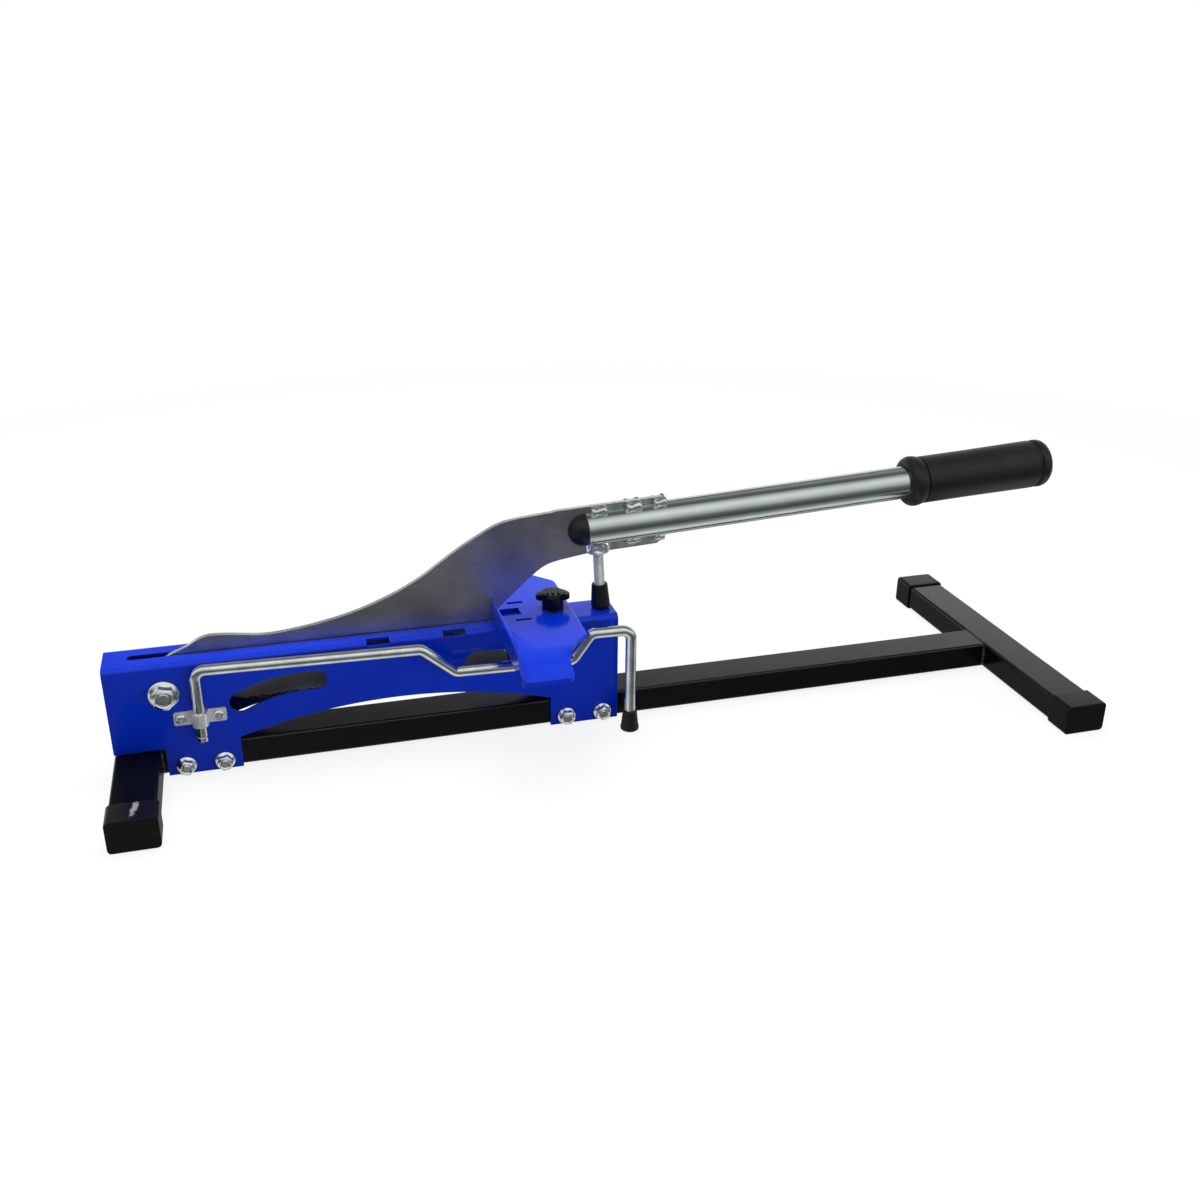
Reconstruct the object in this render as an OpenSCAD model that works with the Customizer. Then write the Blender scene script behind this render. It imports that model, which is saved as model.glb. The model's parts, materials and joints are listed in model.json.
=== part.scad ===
// Laminate flooring cutter: a lever guillotine on a two-foot tube base.
// The lever with its blade turns on one pivot bolt, the fence slides along
// the table slot under a hand knob, and the support rod swings out in front.
// Distances along the length are measured from the left foot's centreline.

/* [Base] */
// width of the base tubes
tube_w = 30; // [24:1:40]
// height of the base tubes
tube_h = 20; // [16:1:30]
// wall of the base tubes
tube_t = 1.5; // [1:0.1:2.5]
// outer corner radius of the base tubes
tube_r = 2; // [1:0.1:4]
// distance between the two feet
foot_spacing = 673.5; // [500:0.5:800]
// overall length of the left foot
left_foot_len = 208; // [150:1:300]
// overall length of the right foot
right_foot_len = 262; // [200:1:350]
// wall of the slip-on foot caps
cap_t = 1.5; // [1:0.1:3]
// thickness of a cap's end
cap_end = 2.5; // [1.5:0.1:4]
// length of a cap
cap_len = 22; // [15:0.5:40]
// first bolt of the left tab
bolt_a0 = 30.7; // [25:0.1:40]
// second bolt of the left tab
bolt_a1 = 56.6; // [45:0.1:62]
// first bolt of the right tab
bolt_b0 = 303.6; // [298:0.1:312]
// second bolt of the right tab
bolt_b1 = 331.4; // [320:0.1:336]
// height of the foot bolts
bolt_z = 7.6; // [7:0.1:12]
// width across flats of the small nuts and bolt heads
m6_af = 10; // [8:0.5:13]
// height of the small nuts
m6_nut = 6; // [4:0.1:8]
// height of the small bolt heads
m6_head = 4; // [3:0.1:6]
// bolt end that stands out of a small nut
m6_end = 3.5; // [1:0.1:6]

/* [Cutter body] */
// sheet thickness of the folded body
sheet_t = 2; // [1.5:0.1:3]
// height of the table above the floor
table_z = 86; // [70:0.5:110]
// left end of the body
body_x0 = -15.3; // [-20:0.1:0]
// right end of the body
body_x1 = 343.4; // [300:0.1:400]
// outer radius of the two long folds
fold_r = 4; // [2.5:0.1:8]
// lower edge over the left foot
ledge_z = 22.2; // [22:0.1:30]
// lower edge of the two foot tabs
tab_z = 1; // [0.5:0.1:4]
// left edge of the left foot tab
tab_a0 = 18.5; // [17:0.1:30]
// right edge of the left foot tab
tab_a1 = 68.6; // [50:0.1:90]
// left edge of the right foot tab
tab_b0 = 291.6; // [260:0.1:300]
// height of the arch between the tabs at its crown
arch_z = 40.8; // [30:0.1:50]
// radius of the arch
arch_r = 385; // [250:1:600]
// how much higher the arch is cut in the rear wall
arch_rise = 4.5; // [0:0.5:12]
// radius of the curved windows' middle line
win_r = 104.3; // [80:0.1:150]
// width of the curved windows
win_w = 15; // [8:0.5:20]
// angle spanned by each window's middle line
win_ang = 29.7; // [15:0.1:40]
// centre of the left window's curve along the body
win_cx = 117; // [100:0.5:130]
// height of the windows' curve centre
win_cz = -42.4; // [-60:0.1:-20]
// width of the slot for blade and clamp bolt
slot_w = 6.5; // [6:0.1:9]
// left end of the slot
slot_x0 = 0.5; // [0:0.1:10]
// right end of the slot
slot_x1 = 312; // [300:0.5:330]
// length of the two holes on the front fold
edge_hole_l = 16; // [8:0.5:24]
// place of the left hole on the front fold
edge_hole_a = 168; // [150:0.5:180]
// place of the right hole on the front fold
edge_hole_b = 222; // [200:0.5:240]

/* [Lever] */
// pivot place along the body
pivot_x = 22.5; // [20:0.1:30]
// pivot height
pivot_z = 64; // [50:0.1:70]
// pivot bolt radius
pivot_r = 5; // [4:0.5:6]
// blade thickness
blade_t = 4; // [3:0.1:5]
// radius of the blade's heel round the pivot
heel_r = 18; // [14:0.5:20]
// start of the cutting edge along the body
edge_x0 = 90; // [80:0.5:100]
// height of the cutting edge at its start, lever closed
edge_z = 43; // [40:0.1:50]
// end of the cutting edge along the body
edge_x1 = 262; // [250:0.5:268]
// height of the cutting edge at its end, lever closed
edge_z1 = 46; // [40:0.1:54]
// width of the ground bevel
bevel_w = 5; // [2:0.1:8]
// handle tube radius
handle_r = 12.5; // [10:0.1:16]
// handle tube wall
handle_t = 1.5; // [1:0.1:3]
// rise of the handle along the body
handle_rise = 3.15; // [0:0.05:8]
// left end of the handle tube
handle_x = 323; // [310:0.5:330]
// height of the handle's axis at its left end
handle_z = 148.9; // [140:0.1:160]
// length of the handle tube
handle_len = 368; // [300:1:450]
// length of tail held in the tube's slot
tail_len = 61; // [40:1:80]
// start of the grip from the left end of the tube
grip_start = 254; // [200:0.5:300]
// grip length up to its domed end
grip_len = 121.1; // [100:0.1:160]
// radius of the grip's body
grip_r = 18.3; // [15:0.1:22]
// length of the grip's collar
grip_collar = 13; // [10:0.5:30]

/* [Stop] */
// place of the stop screw at the handle's axis, along the body
stop_x = 331.2; // [325:0.1:340]
// radius of the stop screw
stop_r = 4; // [3:0.1:5]
// radius of the stop nut's flange
stop_flange = 8.2; // [7:0.1:10]
// radius of the rubber stop foot
stop_foot_r = 7.1; // [6:0.1:9]
// height of the rubber stop foot
stop_h = 19; // [12:0.5:25]

/* [Fence] */
// left face of the fence along the body
fence_x = 251.5; // [245:0.5:255]
// width of the fence
fence_w = 60.5; // [50:0.5:70]
// fence plate thickness
fence_t = 3.2; // [2:0.1:4]
// height of the fence's top above the table
fence_h = 3.8; // [3:0.1:6]
// height of the upright lip over the fence's top
lip_h = 12; // [8:0.5:16]
// thickness of the lip
lip_t = 2.5; // [1.5:0.1:4]
// half depth of the straight right edge
fence_y0 = 47.8; // [30:0.1:50]
// half depth where the chamfers end
fence_y1 = 63.5; // [55:0.1:75]
// half depth of the whole fence
fence_y2 = 102.3; // [90:0.1:115]
// half depth where the ends start to droop
droop_y = 64; // [50:0.5:70]
// radius of the drooping ends
droop_r = 120; // [100:1:300]
// fence width at the chamfers' ends
fence_w1 = 47; // [40:0.1:50]
// fence width at the tips
fence_w2 = 37.3; // [25:0.1:40]
// clamp bolt place from the fence's left face
clamp_dx = 46.5; // [35:0.5:50]
// knob outer radius over the lobes
knob_r = 12.5; // [10:0.1:16]
// knob height
knob_h = 13.5; // [10:0.1:20]

/* [Support rod] */
// rod radius
rod_r = 4; // [3:0.1:5]
// pivot place of the rod along the body
rod_x = 44; // [40:0.1:50]
// swing of the rod away from the body at rest
rod_swing = 2.6; // [2:0.1:5]
// lower end of the rod's hinge leg
rod_z0 = 27.4; // [25:0.1:35]
// height of the rod's upper runs
rod_hi = 81.3; // [75:0.1:82]
// height of the rod's lower run
rod_lo = 61.5; // [55:0.1:70]
// bend radius of the rod's middle line
rod_bend = 7; // [5:0.5:12]
// reach of the rod's foot from its hinge
rod_reach = 304; // [280:0.5:320]
// place where the rod starts to dip, from its hinge
jog_x = 150; // [130:0.5:165]
// place where the rod starts to rise again
dip_end = 257; // [250:0.5:266]
// slope of the rod's way down
jog_a = 40; // [30:1:60]
// slope of the rod's way up
jog_b = 55; // [40:1:70]
// groove near the lower end of the hinge leg
groove_z = 4; // [2:0.1:6]

/* [Fits] */
// radius of the foot bolts and the clamp bolt
m6_r = 3; // [2:0.1:4]
// running clearance at the radius of turning pieces
run_c = 0.05; // [0.01:0.01:0.1]
// clearance between pieces that are bolted together
seat_c = 0.02; // [0:0.01:0.1]
// side clearance between blade and spacers
side_c = 0.1; // [0.05:0.01:0.3]

/* [Hidden] */
$fn = 64;
e = 0.01;
left_x = -340.8;
tube_z = cap_t;
tube_mid_z = tube_z + tube_h / 2;
body_y = tube_w / 2 + seat_c + sheet_t;
body_len = body_x1 - body_x0;
arch_cx = (tab_a1 + tab_b0) / 2;
bolt_x = [bolt_a0, bolt_a1, bolt_b0, bolt_b1];
strap_z = 44.8;
strap_t = 1.5;
strap_h = 10;
strap_screw_dx = 12.5;
rod_y = -body_y - rod_r - 0.6;
nut_r = 0.675 * m6_af;
clamp_len = 18;
blue = [0.05, 0.12, 0.72];
black = [0.06, 0.06, 0.065];
steel = [0.72, 0.73, 0.74];
zinc = [0.80, 0.81, 0.80];

// a rectangle with round corners, centred
module rrect(w, h, r) {
    square([w - 2 * r, h], center = true);
    square([w, h - 2 * r], center = true);
    for (sx = [-1, 1], sy = [-1, 1])
        translate([sx * (w / 2 - r), sy * (h / 2 - r)]) circle(r);
}

// a rectangular tube along X
module tube_bar(len) {
    rotate([90, 0, 90])
        linear_extrude(len, center = true)
            difference() {
                rrect(tube_w, tube_h, tube_r);
                rrect(tube_w - 2 * tube_t, tube_h - 2 * tube_t, tube_r - tube_t + 0.5);
            }
}

// a slip-on cap whose closed end looks along +X, its mouth at x = 0
module cap_solid() {
    rotate([90, 0, 90])
        difference() {
            linear_extrude(cap_len) rrect(tube_w + 2 * cap_t, tube_h + 2 * cap_t, tube_r + 1);
            translate([0, 0, -e])
                linear_extrude(cap_len - cap_end + e)
                    rrect(tube_w + 2 * seat_c, tube_h + 2 * seat_c, tube_r);
        }
}

module foot_tube(x, len) {
    translate([left_x + x, 0, tube_mid_z]) rotate([0, 0, 90]) tube_bar(len - 2 * cap_end);
}

module foot_cap(x, len, side) {
    translate([left_x + x, side * (len / 2 - cap_len), tube_mid_z])
        rotate([0, 0, side * 90]) cap_solid();
}

module left_foot_tube() {
    color(black) foot_tube(0, left_foot_len);
}

module right_foot_tube() {
    color(black) foot_tube(foot_spacing, right_foot_len);
}

module centre_tube() {
    len = foot_spacing - tube_w - 2 * seat_c;
    color(black)
        difference() {
            translate([left_x + foot_spacing / 2, 0, tube_mid_z]) tube_bar(len);
            for (x = bolt_x) translate([left_x + x, 0, bolt_z]) bore_y(m6_r + 0.3, tube_w + 2);
        }
}

module left_cap_front() {
    color(black) foot_cap(0, left_foot_len, -1);
}

module left_cap_rear() {
    color(black) foot_cap(0, left_foot_len, 1);
}

module right_cap_front() {
    color(black) foot_cap(foot_spacing, right_foot_len, -1);
}

module right_cap_rear() {
    color(black) foot_cap(foot_spacing, right_foot_len, 1);
}

// a cylinder along Y, centred on its length
module bore_y(r, len) {
    rotate([90, 0, 0]) cylinder(r = r, h = len, center = true);
}

// a cylinder along Y from y = 0 towards the front
module pin_front(r, len) {
    rotate([90, 0, 0]) cylinder(r = r, h = len);
}

// one curved window of the side walls, seen from the front
module window_shape() {
    a0 = 90 + 25.85 - win_ang;
    a1 = 90 + 25.85;
    translate([win_cx, win_cz]) {
        difference() {
            intersection() {
                circle(win_r + win_w / 2, $fn = 180);
                polygon([[0, 0], 200 * [cos(a0), sin(a0)], 200 * [cos(a1), sin(a1)]]);
            }
            circle(win_r - win_w / 2, $fn = 180);
        }
        for (a = [a0, a1]) translate(win_r * [cos(a), sin(a)]) circle(win_w / 2);
    }
}

// the arch between the foot tabs
module arch_shape() {
    intersection() {
        translate([arch_cx, arch_z - arch_r]) circle(arch_r, $fn = 240);
        translate([tab_a1, 0]) square([tab_b0 - tab_a1, arch_z + 5]);
    }
}

// the side wall's outline with its foot tabs, arch and windows
module wall_shape() {
    difference() {
        polygon([[body_x0, table_z], [body_x0, ledge_z], [tab_a0, ledge_z], [tab_a0, tab_z],
            [tab_a1, tab_z], [tab_a1, ledge_z], [tab_b0, ledge_z], [tab_b0, tab_z],
            [body_x1, tab_z], [body_x1, table_z]]);
        arch_shape();
        window_shape();
        translate([2 * arch_cx, 0]) mirror([1, 0]) window_shape();
    }
}

// the fold's cross section: an inverted U with rounded outer corners
module fold_section() {
    difference() {
        union() {
            translate([-body_y, 0]) square([2 * body_y, table_z - fold_r]);
            translate([-body_y + fold_r, 0]) square([2 * (body_y - fold_r), table_z]);
            for (s = [-1, 1]) translate([s * (body_y - fold_r), table_z - fold_r]) circle(fold_r);
        }
        translate([-body_y + sheet_t, -1])
            square([2 * (body_y - sheet_t), table_z - fold_r + 1]);
        translate([-body_y + fold_r, -1])
            square([2 * (body_y - fold_r), table_z - sheet_t + 1]);
        for (s = [-1, 1])
            translate([s * (body_y - fold_r), table_z - fold_r]) circle(fold_r - sheet_t);
    }
}

module cutter_body() {
    color(blue)
        translate([left_x, 0, 0])
            difference() {
                intersection() {
                    translate([body_x0, 0, 0])
                        rotate([90, 0, 90]) linear_extrude(body_len) fold_section();
                    rotate([90, 0, 0])
                        linear_extrude(2 * body_y + 2, center = true) wall_shape();
                }
                // slot for the blade and the clamp bolt
                translate([0, 0, table_z - sheet_t - 1])
                    linear_extrude(sheet_t + 2) {
                        translate([slot_x0 + slot_w / 2, -slot_w / 2])
                            square([slot_x1 - slot_x0 - slot_w, slot_w]);
                        translate([slot_x0 + slot_w / 2, 0]) circle(slot_w / 2);
                        translate([slot_x1 - slot_w / 2, 0]) circle(slot_w / 2);
                    }
                // the rear wall's arch is cut higher
                translate([0, body_y + 1, arch_rise])
                    rotate([90, 0, 0]) linear_extrude(sheet_t + 2) arch_shape();
                // holes cut across the front fold
                for (x = [edge_hole_a, edge_hole_b])
                    translate([x - edge_hole_l / 2, -body_y - 1, table_z - 3.4])
                        cube([edge_hole_l, 7, 5]);
                // pivot, foot and strap holes
                translate([pivot_x, 0, pivot_z]) bore_y(pivot_r + seat_c, 2 * body_y + 2);
                for (x = bolt_x) translate([x, 0, bolt_z]) bore_y(m6_r + seat_c, 2 * body_y + 2);
                for (s = [-1, 1])
                    translate([rod_x + s * strap_screw_dx, -body_y + 4, strap_z])
                        pin_front(2 + seat_c, 8);
            }
}

// a hexagon prism along -Y from y = 0, given its width across flats
module hex_front(af, len) {
    rotate([90, 0, 0]) cylinder(d = af / cos(30), h = len, $fn = 6);
}

module foot_bolts() {
    color(zinc)
        for (x = bolt_x)
            translate([left_x + x, 0, bolt_z]) {
                translate([0, body_y + seat_c, 0]) pin_front(m6_r, 2 * body_y + m6_nut + m6_end);
                translate([0, body_y + seat_c + m6_head, 0]) hex_front(m6_af, m6_head);
            }
}

module foot_nuts() {
    color(zinc)
        for (x = bolt_x)
            translate([left_x + x, -body_y - seat_c, bolt_z])
                difference() {
                    union() {
                        pin_front(nut_r, 1.2);
                        translate([0, -1.1, 0])
                            rotate([90, 0, 0]) cylinder(r1 = nut_r, r2 = 0.52 * m6_af, h = 1.4);
                        hex_front(m6_af, m6_nut);
                    }
                    translate([0, 1, 0]) pin_front(m6_r + seat_c, 10);
                }
}

module pivot_bolt() {
    color(zinc)
        translate([left_x + pivot_x, 0, pivot_z]) {
            translate([0, body_y + seat_c, 0]) pin_front(pivot_r, 2 * body_y + 11.5);
            translate([0, body_y + seat_c + 6.4, 0]) hex_front(16, 6.4);
        }
}

module pivot_nut() {
    color(zinc)
        translate([left_x + pivot_x, -body_y - seat_c, pivot_z])
            difference() {
                union() {
                    pin_front(10.5, 1.6);
                    translate([0, -1.5, 0]) rotate([90, 0, 0]) cylinder(r1 = 10.5, r2 = 8, h = 2.2);
                    hex_front(15, 9);
                }
                translate([0, 1, 0]) pin_front(pivot_r + seat_c, 12);
            }
}

module spacer(side) {
    len = tube_w / 2 + seat_c - blade_t / 2 - side_c;
    color(steel)
        translate([left_x + pivot_x, side * (blade_t / 2 + side_c + len / 2), pivot_z])
            difference() {
                bore_y(9, len - 2 * seat_c);
                bore_y(pivot_r + seat_c, len + 2);
            }
}

module spacer_front() {
    spacer(-1);
}

module spacer_rear() {
    spacer(1);
}

// strap that wraps the rod's hinge leg and lies on the body's front
module rod_strap() {
    ro = rod_r + run_c + strap_t;
    color(zinc)
        translate([left_x + rod_x, 0, strap_z])
            difference() {
                translate([0, 0, -strap_h / 2])
                    linear_extrude(strap_h) {
                        translate([0, rod_y]) circle(ro);
                        translate([-ro, rod_y]) square([2 * ro, -body_y - seat_c - rod_y]);
                        translate([-17.5, -body_y - seat_c - strap_t]) square([35, strap_t]);
                    }
                translate([0, rod_y, 0]) cylinder(r = rod_r + run_c, h = strap_h + 2, center = true);
                translate([-rod_r - run_c, rod_y, -strap_h])
                    cube([2 * (rod_r + run_c), 20, 2 * strap_h]);
                for (s = [-1, 1])
                    translate([s * strap_screw_dx, 0, 0]) pin_front(2 + seat_c, 40);
            }
}

module strap_screws() {
    y0 = -body_y - seat_c - strap_t - seat_c;
    color(zinc)
        for (s = [-1, 1])
            translate([left_x + rod_x + s * strap_screw_dx, y0, strap_z])
                difference() {
                    union() {
                        translate([0, 8, 0]) pin_front(2, 8 + e);
                        pin_front(3.7, 1.4);
                        translate([0, -1.4, 0])
                            rotate([90, 0, 0]) cylinder(r1 = 3.7, r2 = 2.6, h = 1);
                    }
                    translate([0, -1, 0]) {
                        cube([0.9, 4, 3.6], center = true);
                        cube([3.6, 4, 0.9], center = true);
                    }
                }
}

// a smooth run through points: each span is a Catmull curve cut into n pieces
function span_pt(a, b, c, d, t) = 0.5 * (2 * b + (c - a) * t + (2 * a - 5 * b + 4 * c - d) * t * t
    + (3 * b - a - 3 * c + d) * t * t * t);
function smooth(p, n) = [for (i = [0 : len(p) - 2], k = [0 : n - 1])
    span_pt(p[max(i - 1, 0)], p[i], p[i + 1], p[min(i + 2, len(p) - 1)], k / n)];

// height of the handle's axis at a place along the body
function axis_z(x) = handle_z + (x - handle_x) * tan(handle_rise);

// the blade's outline with the lever closed
tail_x1 = handle_x + tail_len;
tail_up = 17.3;
tail_down = 18.6;
back_curve = [[pivot_x + 12, 88.4], [41, 91.2], [48, 95.2], [56, 97.2], [67, 96.6], [80, 94.9],
    [92, 93.6], [106, 94.3], [127, 97.2], [148, 101.7], [166, 107.3], [186, 115.6], [202, 124.3],
    [216, 134], [231, 144], [246, 152.7], [257, 158.2], [267, 161], [280, 162.6],
    [300, axis_z(300) + tail_up - 0.6]];
belly_curve = [[322, axis_z(322) - tail_down], [311, 128.6], [301, 127], [292, 124.2],
    [283, 118], [272, 108.2], [262, 99.2], [256, 93], [253, 87], [253.6, 78], [257.5, 66],
    [edge_x1 + 1, edge_z1 + 10]];
heel_curve = [[edge_x0, edge_z], [edge_x0 - 8, edge_z + 1.3], [edge_x0 - 14, edge_z + 3],
    [edge_x0 - 21, edge_z + 5.4], [60, 50], [48, 50.1],
    [pivot_x + 9, pivot_z - 15.6], [pivot_x + 1, pivot_z - heel_r]];
module blade_shape() {
    polygon(concat(smooth(back_curve, 5),
        [[300, axis_z(300) + tail_up], [tail_x1 - 4, axis_z(tail_x1 - 4) + tail_up],
            [tail_x1, axis_z(tail_x1) + tail_up - 5], [tail_x1, axis_z(tail_x1) - tail_down + 6],
            [tail_x1 - 7, axis_z(tail_x1 - 7) - tail_down]],
        smooth(belly_curve, 5),
        [[edge_x1 + 1.6, edge_z1 + 3], [edge_x1, edge_z1]],
        smooth(heel_curve, 5),
        [for (a = [-90 : -10 : -250])
            [pivot_x + heel_r * cos(a), pivot_z + heel_r * sin(a)]]));
}

// places a piece under the handle: local Z points up along the stop screw
module at_stop() {
    translate([stop_x, 0, axis_z(stop_x)]) rotate([0, -handle_rise, 0]) children();
}

module blade() {
    edge_a = atan2(edge_z1 - edge_z, edge_x1 - edge_x0);
    color(steel)
        translate([left_x, 0, 0])
            difference() {
                rotate([90, 0, 0]) linear_extrude(blade_t, center = true) blade_shape();
                translate([pivot_x, 0, pivot_z]) bore_y(pivot_r + run_c, blade_t + 2);
                // ground bevel along the cutting edge, on the front
                translate([edge_x0, -blade_t / 2, edge_z])
                    rotate([0, -edge_a, 0])
                        rotate([90, 0, 90])
                            translate([0, 0, -14])
                                linear_extrude(edge_x1 - edge_x0 + 24)
                                    polygon([[-0.5, -1], [blade_t - 0.4, -1], [blade_t - 0.4, 0],
                                        [0, bevel_w], [-0.5, bevel_w]]);
                // notch for the stop nut
                at_stop() translate([-stop_flange - 0.4, -blade_t, -40])
                    cube([2 * stop_flange + 0.8, 2 * blade_t, 40 - handle_r + 0.6]);
            }
}

// places a piece on the handle's axis: local Z runs towards the grip
module on_handle(s) {
    translate([left_x + handle_x, 0, handle_z])
        rotate([0, 90 - handle_rise, 0]) translate([0, 0, s]) children();
}

module handle_tube() {
    color(zinc)
        on_handle(0)
            difference() {
                cylinder(r = handle_r, h = handle_len);
                translate([0, 0, -1]) cylinder(r = handle_r - handle_t, h = handle_len + 2);
                // slot for the blade's tail
                translate([-handle_r - 1, -blade_t / 2 - seat_c, -1])
                    cube([2 * handle_r + 2, blade_t + 2 * seat_c, tail_len + 3]);
            }
}

// two half-round end plugs, one on each side of the tail
module tube_plugs() {
    ri = handle_r - handle_t - seat_c;
    color(black)
        on_handle(-seat_c)
            difference() {
                union() {
                    cylinder(r = ri, h = 12);
                    translate([0, 0, -1.6]) cylinder(r = handle_r - 0.2, h = 1.6);
                    difference() {
                        translate([0, 0, -1.6]) sphere(handle_r - 0.2);
                        translate([-20, -20, -1.6]) cube([40, 40, 30]);
                    }
                }
                translate([-20, -blade_t / 2 - seat_c, -20]) cube([40, blade_t + 2 * seat_c, 50]);
            }
}

module grip() {
    l = grip_len;
    c = grip_collar;
    r = grip_r;
    dome = 0.36 * r;
    color(black)
        on_handle(grip_start)
            difference() {
                rotate_extrude()
                    polygon(concat([[0, 0], [0.75 * r, 0]],
                        // collar with a round front, then a groove
                        [for (a = [-75 : 15 : 0])
                            [0.75 * r + 0.3 * r * cos(a), 0.46 * c * (1 + sin(a))]],
                        [[1.038 * r, 0.66 * c], [1.005 * r, 0.84 * c], [0.975 * r, 0.96 * c], [0.93 * r, c],
                            [0.925 * r, 1.12 * c], [0.975 * r, 1.16 * c], [0.985 * r, 1.24 * c]],
                        // body that swells a little, a second groove and the domed end
                        [[0.985 * r, 0.4 * l], [r, 0.65 * l], [1.01 * r, 0.85 * l],
                            [1.005 * r, l - 2 * dome], [0.965 * r, l - 1.75 * dome],
                            [0.965 * r, l - 1.6 * dome], [1.01 * r, l - 1.35 * dome]],
                        [for (a = [0 : 15 : 90]) [1.01 * r - dome + dome * cos(a), l - dome + dome * sin(a)]],
                        [[0, l]]));
                translate([0, 0, -1]) cylinder(r = handle_r + seat_c, h = handle_len - grip_start + 1);
            }
}

// lower face of the stop foot in the stop's own frame: its lowest rim stands on the table
stop_rim = 0.73 * stop_foot_r;
stop_low = -(axis_z(stop_x) - table_z - seat_c - stop_rim * sin(handle_rise)) / cos(handle_rise);

module stop_screw() {
    color(zinc)
        translate([left_x, 0, 0])
            at_stop() translate([0, 0, stop_low + 5])
                cylinder(r = stop_r, h = -handle_r - 0.7 - stop_low - 5);
}

module stop_nut() {
    nut_h = 6;
    color(zinc)
        translate([left_x, 0, 0])
            at_stop() translate([0, 0, -handle_r - 0.45 - nut_h])
                difference() {
                    union() {
                        cylinder(d = 13 / cos(30), h = nut_h, $fn = 6);
                        cylinder(r = stop_flange, h = 1.5);
                    }
                    translate([0, 0, -1]) cylinder(r = stop_r + seat_c, h = nut_h + 2);
                }
}

module stop_foot() {
    r = stop_foot_r;
    color(black)
        translate([left_x, 0, 0])
            at_stop() translate([0, 0, stop_low])
                difference() {
                    rotate_extrude()
                        polygon([[0, 0], [stop_rim, 0], [0.87 * r, 0.35], [0.97 * r, 1.1], [r, 2.2],
                            [0.985 * r, 3.4], [0.83 * r, stop_h - 0.8], [0.76 * r, stop_h], [0, stop_h]]);
                    translate([0, 0, 5 - seat_c]) cylinder(r = stop_r + seat_c, h = stop_h);
                }
}

// the fence's cross section, left face at x = 0 and top at y = 0, lip upwards
module fence_section() {
    h = fence_h - 0.05;
    rb = 2.5;
    rim = 0.8;
    fillet = 1.5;
    polygon(concat([[0, -h], [0, lip_h - rim], [rim, lip_h], [lip_t - rim, lip_h], [lip_t, lip_h - rim]],
        [for (a = [180 : 30 : 270]) [lip_t + fillet, fillet] + fillet * [cos(a), sin(a)]],
        [for (a = [90 : -30 : 0]) [fence_w - rb, -rb] + rb * [cos(a), sin(a)]],
        [[fence_w, -h], [fence_w - fence_t, -h], [fence_w - fence_t, -fence_t],
            [fence_t, -fence_t], [fence_t, -h]]));
}

// one drooping end of the fence, towards the front
module fence_droop() {
    ang = asin((fence_y2 - droop_y + 4) / droop_r);
    translate([0, -droop_y, -droop_r])
        rotate(a = 180, v = [1, 0, 1])
            rotate_extrude(angle = ang, $fn = 360)
                translate([droop_r, 0]) mirror([1, -1]) fence_section();
}

// the fence's plan: rounded tips, hollow flanks and chamfered shoulders
module fence_plan() {
    tip_l = 4;
    tip_r = 5;
    half = concat([for (a = [180 : -15 : 90]) [tip_l, fence_y2 - tip_l] + tip_l * [cos(a), sin(a)]],
        [for (a = [90 : -15 : 0])
            [fence_w2 - tip_r, fence_y2 - tip_r] + tip_r * [cos(a), sin(a)]],
        [[fence_w2 + 0.1, fence_y2 - 12], [fence_w2 + 0.8, fence_y2 - 17.5],
            [fence_w2 + 2.3, fence_y2 - 23.4], [fence_w2 + 4.9, fence_y2 - 31],
            [fence_w1, fence_y1], [fence_w, fence_y0]]);
    difference() {
        polygon(concat(half, [[fence_w, -fence_y0]],
            [for (i = [len(half) - 2 : -1 : 0]) [half[i][0], -half[i][1]]]));
        // room for the blade, and two narrow slits beside it
        translate([-1, -6]) square([22.6, 12]);
        for (s = [-1, 1]) translate([15.2, s * 15.5 - 1.7]) square([11.9, 3.4]);
        translate([clamp_dx, 0]) circle(m6_r + seat_c);
    }
}

// slopes the lip's front end down to the tip
module lip_slope() {
    drop = droop_r - sqrt(pow(droop_r, 2) - pow(fence_y2 - droop_y, 2));
    translate([-1, -fence_y2 - 0.5, 1 - drop]) rotate([52, 0, 0]) cube([lip_t + 3, 40, 40]);
}

module fence() {
    color(blue)
        translate([left_x + fence_x, 0, table_z + fence_h])
            difference() {
                intersection() {
                    union() {
                        rotate([90, 0, 0])
                            linear_extrude(2 * droop_y, center = true) fence_section();
                        fence_droop();
                        mirror([0, 1, 0]) fence_droop();
                    }
                    translate([0, 0, -30]) linear_extrude(50) fence_plan();
                }
                lip_slope();
                mirror([0, 1, 0]) lip_slope();
            }
}

// clamp bolt: flat head under the table, shank up through slot and fence
module clamp_bolt() {
    z0 = table_z - sheet_t - 1.6 - 2 * seat_c;
    color(zinc)
        translate([left_x + fence_x + clamp_dx, 0, 0]) {
            translate([0, 0, z0 - m6_head]) cylinder(d = m6_af / cos(30), h = m6_head, $fn = 6);
            translate([0, 0, z0 - e]) cylinder(r = m6_r, h = clamp_len);
        }
}

module clamp_washer() {
    color(zinc)
        translate([left_x + fence_x + clamp_dx, 0, table_z - sheet_t - 1.6 - seat_c])
            difference() {
                cylinder(r = 9, h = 1.6);
                translate([0, 0, -1]) cylinder(r = m6_r + seat_c, h = 4);
            }
}

knob_z = table_z + fence_h + seat_c;
module knob_insert() {
    color(zinc)
        translate([left_x + fence_x + clamp_dx, 0, knob_z])
            difference() {
                cylinder(r = 5, h = 8);
                translate([0, 0, -1]) cylinder(r = m6_r + run_c, h = 10);
            }
}

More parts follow.
